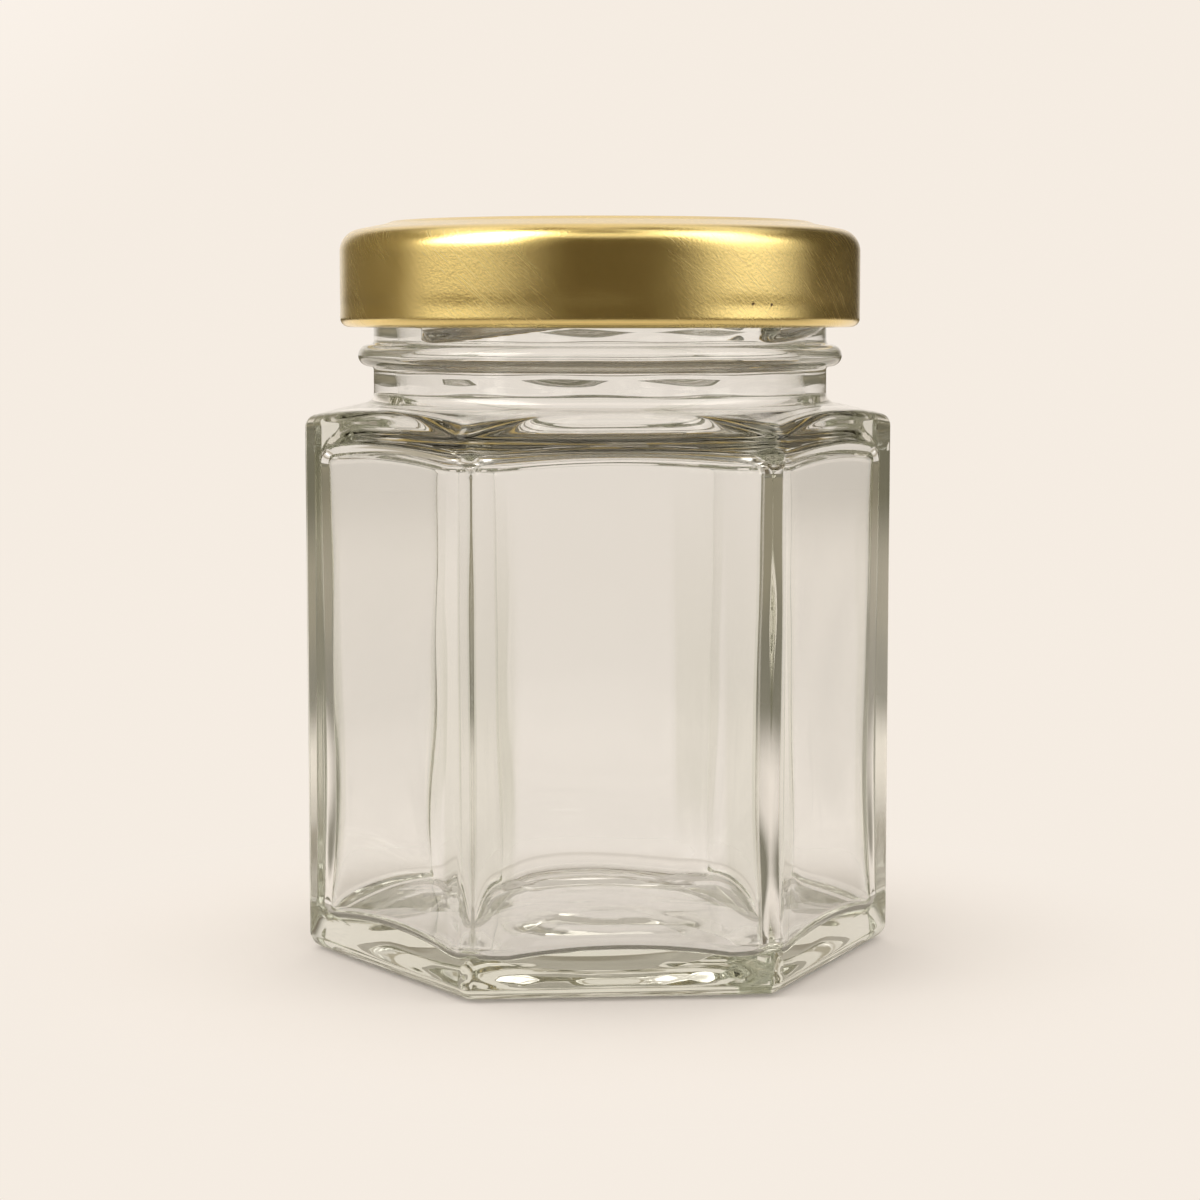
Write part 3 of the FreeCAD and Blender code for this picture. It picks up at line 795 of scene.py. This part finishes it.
def grown(name, tree, values):
    """A plain mesh object made by a node tree with the named inputs set."""
    seed = bpy.data.objects.new(name + "_seed", bpy.data.meshes.new(name + "_seed"))
    bpy.context.scene.collection.objects.link(seed)
    modifier = seed.modifiers.new(name, "NODES")
    modifier.node_group = tree
    for socket in tree.interface.items_tree:
        if socket.in_out == "INPUT" and socket.name in values:
            modifier[socket.identifier] = values[socket.name]
    seed.update_tag()
    bpy.context.view_layer.update()
    evaluated = seed.evaluated_get(bpy.context.evaluated_depsgraph_get())
    mesh = bpy.data.meshes.new_from_object(evaluated)
    bpy.data.objects.remove(seed)
    piece = bpy.data.objects.new(name, mesh)
    bpy.context.scene.collection.objects.link(piece)
    return piece


outer_outline, inner_outline = lid_outline()
lid_rings = turned_rings(inner_outline[::-1] + outer_outline[::-1], LID_COLUMNS)
lid = surface_of(lid_rings, "twist_off_lid")
inner_points = len(inner_outline) * LID_COLUMNS
outer_points = len(outer_outline) * LID_COLUMNS
marked(lid, "inside", [1.0] * inner_points + [0.0] * outer_points + [1.0, 0.0])
gold = gold_lacquer()
lid.data.materials.append(gold)
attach(lid, "root")
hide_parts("lid")

lugs = grown("lid_lugs", lug_tree(gold), {
    "Count": LUGS,
    "First turn": math.radians(LUG_TURN),
    "Turn width": math.radians(LUG_WIDTH),
    "Inner radius": (LID_RADIUS - CURL_ROUND - LUG_REACH) * MM,
    "Outer radius": (LID_RADIUS - CURL_ROUND) * MM,
    "Bottom": (LID_BOTTOM + LUG_RISE) * MM,
    "Thickness": LUG_THICKNESS * MM,
})
marked(lugs, "inside", [1.0] * len(lugs.data.vertices))
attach(lugs, "root")
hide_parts("lid")


# ---- Sealing ring ----------------------------------------------------------------------------
# A ring of soft off-white compound, poured into the lid's channel and baked there. It is pressed
# flat on the glass rim and shows only through the neck.

COMPOUND_DEEP = (0.74, 0.71, 0.63, 1.0)
COMPOUND_PALE = (0.84, 0.82, 0.76, 1.0)


def sealing_compound():
    material, nodes, links, shader, _ = new_material("sealing_compound")
    place = nodes.new("ShaderNodeTexCoord").outputs["Object"]
    clouds = noise(nodes, links, place, 300.0, 3.0)
    colour = mixed_colour(nodes, links, clouds, COMPOUND_DEEP, COMPOUND_PALE)
    links.new(colour, shader.inputs["Base Color"])
    links.new(smooth_range(nodes, links, clouds, -0.8, 1.6), shader.inputs["Roughness"])
    return material


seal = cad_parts["lid_seal"]
seal.data.materials.clear()
seal.data.materials.append(sealing_compound())


# ---- Studio ----------------------------------------------------------------------------------
# The jar stands on a seamless cream table in front of a cream backdrop, in a dim warm room. Tall
# soft lights stand left and right of the camera and a ring of light hangs above it.

CREAM = (0.915, 0.842, 0.762, 1.0)
TABLE_CREAM = (0.93, 0.86, 0.785, 1.0)
CORNER_GLOW = (0.085, 0.09, 0.10, 1.0)
LIGHT_WHITE = (1.0, 0.97, 0.90, 1.0)
ROOM_LEFT = (0.22, 0.18, 0.105, 1.0)
ROOM_FRONT = (0.100, 0.077, 0.040, 1.0)
ROOM_RIGHT = (0.08, 0.063, 0.034, 1.0)
GREY_ROOM = (0.30, 0.29, 0.245, 1.0)
BROWN_CARD = (0.15, 0.12, 0.08, 1.0)
LINTEL = (0.50, 0.44, 0.34, 1.0)
AMBIENT = (1.0, 0.97, 0.935, 1.0)
TABLE_GAP = 0.0002
TABLE_RADIUS = 4.0
TABLE_FADE = (0.020, 0.080)
BEHIND_GLASS_FADE = 0.6
# Where mirrored rays see the table's painted dim floor instead of the lit board.
FLOOR_DIMS = (0.125, 0.20)
FRONT_DIMS = (-0.10, 0.60)
FRONT_ENDS = (0.12, -0.02)
NEAR_DIMS = (0.13, 0.05)
NEAR_DEPTH = 0.45
ROOM_DIMS = (0.50, 0.90)
# The painted shadow ring round the jar, seen only from inside the glass, and the colours of the
# painted dim floor with its painted pool of light that mirrored rays see.
SHADE_STARTS = (0.040, 0.052)
SHADE_ENDS = (0.078, 0.060)
SHADE_DEPTH = 0.75
POOL_STARTS = (0.22, 0.36)
POOL_ENDS = (0.75, 0.45)
SHADED_CREAM = (0.34, 0.28, 0.20, 1.0)
POOL_OF_LIGHT = (0.30, 0.265, 0.185, 1.0)
DIM_FLOOR = (0.20, 0.185, 0.135, 1.0)
AIM = (0.0, 0.0, 0.06)

# Each light: the headings, then the heights, where it starts, is full, begins to fade and ends,
# all in degrees, and its radiance. Headings count from the camera's side to the right.
ANY_HEIGHT = (-95, -91, 91, 95)
ALL_ROUND = (-1, 0, 181, 190)
LIGHTS_ON_METAL = (
    ((-104, -82, -64, -18), ANY_HEIGHT, 0.90),
    ((-94, -80, -60, -38), (10, 30, 62, 76), 6.2),
    ((24, 60, 68, 104), ANY_HEIGHT, 1.50),
    ((38, 58, 78, 98), (12, 32, 58, 72), 1.8),
    ((-178, -150, 150, 178), (40, 54, 62, 74), 1.0),
)
LIGHTS_ROUND_GLASS = (
    ((54, 58, 66, 70), (-20, -5, 40, 60), 1.8),
    ((18, 22, 28, 32), (-20, -5, 40, 60), 1.2),
    (ALL_ROUND, (46, 54, 64, 72), 1.3),
)
BRIGHT_CORNER = (-0.22, 0.93, 0.28)


def between(nodes, links, value, edges):
    """1 between the two middle angles of four, fading to 0 at the outer two. All in degrees."""
    start, full, fall, end = [math.radians(edge) for edge in edges]
    low = smooth_range(nodes, links, value, start, full)
    high = smooth_range(nodes, links, value, end, fall)
    return math_node(nodes, links, "MULTIPLY", low, high)


def looked_through(nodes, links):
    """Four switches: seen by the camera itself, seen straight through thin glass, seen in any
    reflection or through glass, and seen from inside the glass."""
    path = nodes.new("ShaderNodeLightPath")
    unscattered = math_node(nodes, links, "LESS_THAN", path.outputs["Diffuse Depth"], 0.5)
    unturned = math_node(nodes, links, "LESS_THAN", path.outputs["Glossy Depth"], 0.5)
    thin = math_node(nodes, links, "LESS_THAN", path.outputs["Transmission Depth"], 4.5)
    through = math_node(nodes, links, "MULTIPLY", path.outputs["Is Transmission Ray"], unscattered)
    straight = math_node(nodes, links, "MULTIPLY", through, thin)
    straight = math_node(nodes, links, "MULTIPLY", straight, unturned)
    glossy = math_node(nodes, links, "MULTIPLY", path.outputs["Is Glossy Ray"], unscattered)
    mirrored = math_node(nodes, links, "MAXIMUM", through, glossy)
    inside = math_node(nodes, links, "GREATER_THAN", path.outputs["Transmission Depth"], 0.5)
    in_glass = math_node(nodes, links, "MULTIPLY", mirrored, inside)
    return path.outputs["Is Camera Ray"], straight, mirrored, in_glass


def studio_world():
    world = bpy.data.worlds.new("studio")
    bpy.context.scene.world = world
    world.use_nodes = True
    world.cycles.sampling_method = "NONE"
    nodes, links = world.node_tree.nodes, world.node_tree.links
    direction = nodes.new("ShaderNodeTexCoord").outputs["Generated"]
    parts = nodes.new("ShaderNodeSeparateXYZ")
    links.new(direction, parts.inputs[0])
    ahead = math_node(nodes, links, "MULTIPLY", parts.outputs["Y"], -1.0)
    heading = math_node(nodes, links, "ARCTAN2", parts.outputs["X"], ahead)
    turned = math_node(nodes, links, "ABSOLUTE", heading)
    rise = math_node(nodes, links, "ARCSINE", parts.outputs["Z"])

    def painted(ground, around, lights):
        """Adds soft-edged lights, their headings counted by the given angle."""
        for headings, heights, radiance in lights:
            wide = between(nodes, links, around, headings)
            tall = between(nodes, links, rise, heights)
            shape = math_node(nodes, links, "MULTIPLY", wide, tall)
            glow = tuple(part * radiance for part in LIGHT_WHITE[:3]) + (1.0,)
            ground = mixed_colour(nodes, links, shape, ground, glow, "ADD")
        return ground

    to_right = between(nodes, links, heading, (20, 110, 181, 190))
    to_left = between(nodes, links, heading, (-190, -181, -100, -20))
    room = mixed_colour(nodes, links, to_right, ROOM_FRONT, ROOM_RIGHT)
    room = mixed_colour(nodes, links, to_left, room, ROOM_LEFT)
    room = painted(room, heading, LIGHTS_ON_METAL)
    behind = between(nodes, links, turned, (150, 168, 181, 190))
    room = mixed_colour(nodes, links, behind, room, CREAM)

    towards = nodes.new("ShaderNodeVectorMath")
    towards.operation = "DOT_PRODUCT"
    towards.inputs[1].default_value = Vector(BRIGHT_CORNER).normalized()
    links.new(direction, towards.inputs[0])
    glow = smooth_range(nodes, links, towards.outputs["Value"], 0.955, 1.0)
    cream = mixed_colour(nodes, links, glow, CREAM, CORNER_GLOW, "ADD")

    rear = between(nodes, links, turned, (104, 138, 181, 190))
    rear_left = between(nodes, links, heading, (-190, -181, -118, -94))
    rear = math_node(nodes, links, "MAXIMUM", rear, rear_left)
    around_glass = mixed_colour(nodes, links, rear, GREY_ROOM, CREAM)
    card = math_node(nodes, links, "MULTIPLY", between(nodes, links, heading, (80, 92, 108, 124)),
                     between(nodes, links, rise, (-30, -20, 40, 60)))
    around_glass = mixed_colour(nodes, links, card, around_glass, BROWN_CARD)
    lintel = between(nodes, links, rise, (26, 30, 36, 40))
    around_glass = mixed_colour(nodes, links, lintel, around_glass, LINTEL)
    around_glass = painted(around_glass, turned, LIGHTS_ROUND_GLASS)

    camera_ray, straight, mirrored, in_glass = looked_through(nodes, links)
    low = between(nodes, links, rise, (-100, -95, 26, 40))
    straight = math_node(nodes, links, "MULTIPLY", straight, low)
    shown = mixed_colour(nodes, links, mirrored, AMBIENT, room)
    shown = mixed_colour(nodes, links, in_glass, shown, around_glass)
    shown = mixed_colour(nodes, links, straight, shown, CREAM)
    shown = mixed_colour(nodes, links, camera_ray, shown, cream)
    links.new(shown, nodes["Background"].inputs["Color"])


def mixed_shader(nodes, links, share, first, second):
    mix = nodes.new("ShaderNodeMixShader")
    links.new(share, mix.inputs["Fac"])
    links.new(first, mix.inputs[1])
    links.new(second, mix.inputs[2])
    return mix.outputs[0]


def cream_table():
    """Matt cream board that takes the jar's shadow and melts into the backdrop further out. From
    inside the glass it shows a painted shadow ring round the jar. To mirrored rays it shows the
    painted floor of a dim room, with a painted pool of light, which gives glass and lid their dark
    tones."""
    outline = unit(np.linspace(0, 2 * math.pi, 96, endpoint=False)) * TABLE_RADIUS
    mesh = bpy.data.meshes.new("table")
    mesh.from_pydata([(x, y, -TABLE_GAP) for x, y in outline], [], [list(range(len(outline)))])
    board = bpy.data.objects.new("table", mesh)
    bpy.context.scene.collection.objects.link(board)
    material, nodes, links, shader, output = new_material("cream_table")
    shader.inputs["Roughness"].default_value = 0.9
    shader.inputs["Specular IOR Level"].default_value = 0.1
    place = nodes.new("ShaderNodeTexCoord").outputs["Object"]
    parts = nodes.new("ShaderNodeSeparateXYZ")
    links.new(place, parts.inputs[0])
    length = nodes.new("ShaderNodeVectorMath")
    length.operation = "LENGTH"
    links.new(place, length.inputs[0])
    camera_ray, straight, mirrored, in_glass = looked_through(nodes, links)

    def by_distance(start, end):
        return smooth_range(nodes, links, length.outputs["Value"], start, end)

    def times(first, second):
        return math_node(nodes, links, "MULTIPLY", first, second)

    def larger(first, second):
        return math_node(nodes, links, "MAXIMUM", first, second)

    # Painted shadow: a darker ring on the table round the jar, shown only to rays seen from inside
    # the glass.
    painted_shadow_ring = times(by_distance(*SHADE_STARTS), by_distance(*SHADE_ENDS))
    painted_shadow_ring = times(painted_shadow_ring, times(in_glass, SHADE_DEPTH))
    ground = mixed_colour(nodes, links, painted_shadow_ring, TABLE_CREAM, SHADED_CREAM)
    links.new(ground, shader.inputs["Base Color"])

    # Painted reflection: mirrored rays see the table as a glowing dim floor. Seen from inside the
    # glass it has a painted pool of light further out, and for other mirrored rays it has the dark
    # room's colour.
    painted_light_pool = times(by_distance(*POOL_STARTS), by_distance(*POOL_ENDS))
    floor = mixed_colour(nodes, links, painted_light_pool, DIM_FLOOR, POOL_OF_LIGHT)
    dim = nodes.new("ShaderNodeEmission")
    links.new(mixed_colour(nodes, links, in_glass, ROOM_FRONT, floor), dim.inputs["Color"])
    in_front = smooth_range(nodes, links, parts.outputs["Y"], *FRONT_ENDS)
    near = times(by_distance(*NEAR_DIMS), NEAR_DEPTH)
    dims = larger(times(by_distance(*FRONT_DIMS), in_front), near)
    dims = larger(dims, by_distance(*ROOM_DIMS))
    reflected = math_node(nodes, links, "SUBTRACT", mirrored, straight)
    turned_in_glass = math_node(nodes, links, "SUBTRACT", in_glass, straight)
    dims = larger(times(by_distance(*FLOOR_DIMS), turned_in_glass), times(dims, reflected))
    lit = mixed_shader(nodes, links, dims, shader.outputs[0], dim.outputs[0])

    backdrop = nodes.new("ShaderNodeEmission")
    backdrop.inputs["Color"].default_value = CREAM
    faded = larger(by_distance(*TABLE_FADE), times(straight, BEHIND_GLASS_FADE))
    faded = times(faded, larger(camera_ray, straight))
    shown = mixed_shader(nodes, links, faded, lit, backdrop.outputs[0])
    links.new(shown, output.inputs["Surface"])
    mesh.materials.append(material)


def soft_panel(name, heading, elevation, distance, size, radiance):
    """A glowing square cloth that faces the jar and only lights the table. Its heading is counted
    from the camera's side to the right."""
    turn, up = math.radians(heading), math.radians(elevation)
    away = Vector((math.sin(turn) * math.cos(up), -math.cos(turn) * math.cos(up), math.sin(up)))
    corners = [(x * size / 2, y * size / 2, 0) for x, y in ((-1, -1), (1, -1), (1, 1), (-1, 1))]
    mesh = bpy.data.meshes.new(name)
    mesh.from_pydata(corners, [], [(3, 2, 1, 0)])
    panel = bpy.data.objects.new(name, mesh)
    bpy.context.scene.collection.objects.link(panel)
    panel.location = Vector(AIM) + away * distance
    panel.rotation_mode = "QUATERNION"
    panel.rotation_quaternion = away.to_track_quat("Z", "Y")
    material, nodes, links, _, output = new_material(name)
    cloth = nodes.new("ShaderNodeEmission")
    cloth.inputs["Strength"].default_value = radiance
    links.new(cloth.outputs[0], output.inputs["Surface"])
    mesh.materials.append(material)
    panel.visible_camera = False
    panel.visible_glossy = False
    panel.visible_transmission = False


CAMERA_DISTANCE = 0.3426
CAMERA_HEIGHT = 0.075
CAMERA_HEADING = math.radians(-4.59)
CAMERA_DOWN = math.radians(5.69)


def camera():
    data = bpy.data.cameras.new("camera")
    data.sensor_width = 36
    data.lens = 87.72
    data.clip_start = 0.01
    item = bpy.data.objects.new("camera", data)
    bpy.context.scene.collection.objects.link(item)
    right, away = math.sin(CAMERA_HEADING), -math.cos(CAMERA_HEADING)
    item.location = (CAMERA_DISTANCE * right, CAMERA_DISTANCE * away, CAMERA_HEIGHT)
    item.rotation_euler = (math.pi / 2 - CAMERA_DOWN, 0, CAMERA_HEADING)
    bpy.context.scene.camera = item


studio_world()
cream_table()
soft_panel("left_light", heading=-64, elevation=48, distance=0.60, size=0.50, radiance=1.6)
soft_panel("right_light", heading=68, elevation=48, distance=0.60, size=0.40, radiance=1.0)
camera()
bpy.context.scene.view_settings.view_transform = "Standard"
cycles = bpy.context.scene.cycles
cycles.max_bounces = 48
cycles.transmission_bounces = 44
cycles.glossy_bounces = 40
